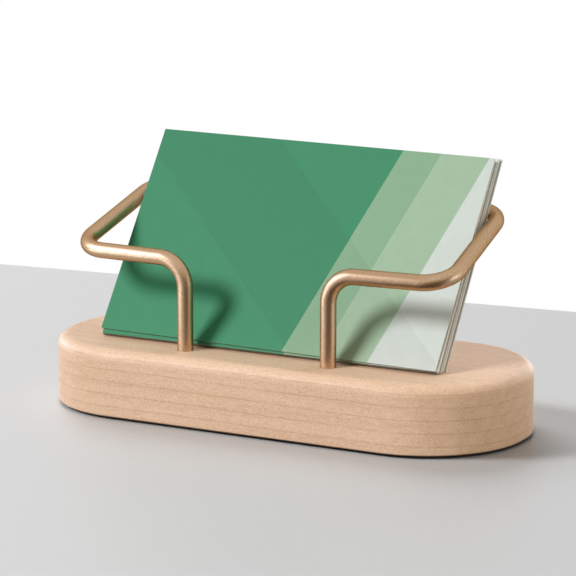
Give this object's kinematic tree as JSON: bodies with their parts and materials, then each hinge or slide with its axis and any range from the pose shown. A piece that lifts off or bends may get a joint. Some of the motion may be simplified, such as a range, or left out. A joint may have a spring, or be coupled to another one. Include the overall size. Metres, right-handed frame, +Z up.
{
  "type": "business card holder stand",
  "caption": "Desk stand for business cards: a bent brass rod rises from a rounded solid wood base, opens to the sides and crosses behind the leaning stack of cards.",
  "frame": {"origin": "under the middle of the base, on the surface that the pads stand on", "axes": "+X along the base to the right, +Y from the front posts to the back run, +Z up"},
  "size_m": [0.1212, 0.0516, 0.064],
  "materials": {
    "wood": "fine sanded pale maple with a clear matt oil",
    "brass": "satin, fine brushed along the rod",
    "card": "matt printed front in slanted bands of green, bare white edges",
    "pad": "matt"
  },
  "bodies": {
    "holder": {"wood_base": "wood", "brass_rail": "brass", "pad_front_left": "pad", "pad_front_right": "pad", "pad_rear_left": "pad", "pad_rear_right": "pad"},
    "card_01": {"card_01": "card"},
    "card_02": {"card_02": "card"},
    "card_03": {"card_03": "card"},
    "card_04": {"card_04": "card"},
    "card_05": {"card_05": "card"},
    "card_06": {"card_06": "card"},
    "card_07": {"card_07": "card"},
    "card_08": {"card_08": "card"},
    "card_09": {"card_09": "card"},
    "card_10": {"card_10": "card"}
  },
  "joints": [
    {"name": "card_01_lift", "type": "slide", "parent": "holder", "child": "card_01", "axis": [0, 0.5519, 0.8339], "range_m": [0, 0.045]},
    {"name": "card_02_lift", "type": "slide", "parent": "holder", "child": "card_02", "axis": [0, 0.5519, 0.8339], "range_m": [0, 0.045]},
    {"name": "card_03_lift", "type": "slide", "parent": "holder", "child": "card_03", "axis": [0, 0.5519, 0.8339], "range_m": [0, 0.045]},
    {"name": "card_04_lift", "type": "slide", "parent": "holder", "child": "card_04", "axis": [0, 0.5519, 0.8339], "range_m": [0, 0.045]},
    {"name": "card_05_lift", "type": "slide", "parent": "holder", "child": "card_05", "axis": [0, 0.5519, 0.8339], "range_m": [0, 0.045]},
    {"name": "card_06_lift", "type": "slide", "parent": "holder", "child": "card_06", "axis": [0, 0.5519, 0.8339], "range_m": [0, 0.045]},
    {"name": "card_07_lift", "type": "slide", "parent": "holder", "child": "card_07", "axis": [0, 0.5519, 0.8339], "range_m": [0, 0.045]},
    {"name": "card_08_lift", "type": "slide", "parent": "holder", "child": "card_08", "axis": [0, 0.5519, 0.8339], "range_m": [0, 0.045]},
    {"name": "card_09_lift", "type": "slide", "parent": "holder", "child": "card_09", "axis": [0, 0.5519, 0.8339], "range_m": [0, 0.045]},
    {"name": "card_10_lift", "type": "slide", "parent": "holder", "child": "card_10", "axis": [0, 0.5519, 0.8339], "range_m": [0, 0.045]}
  ]
}
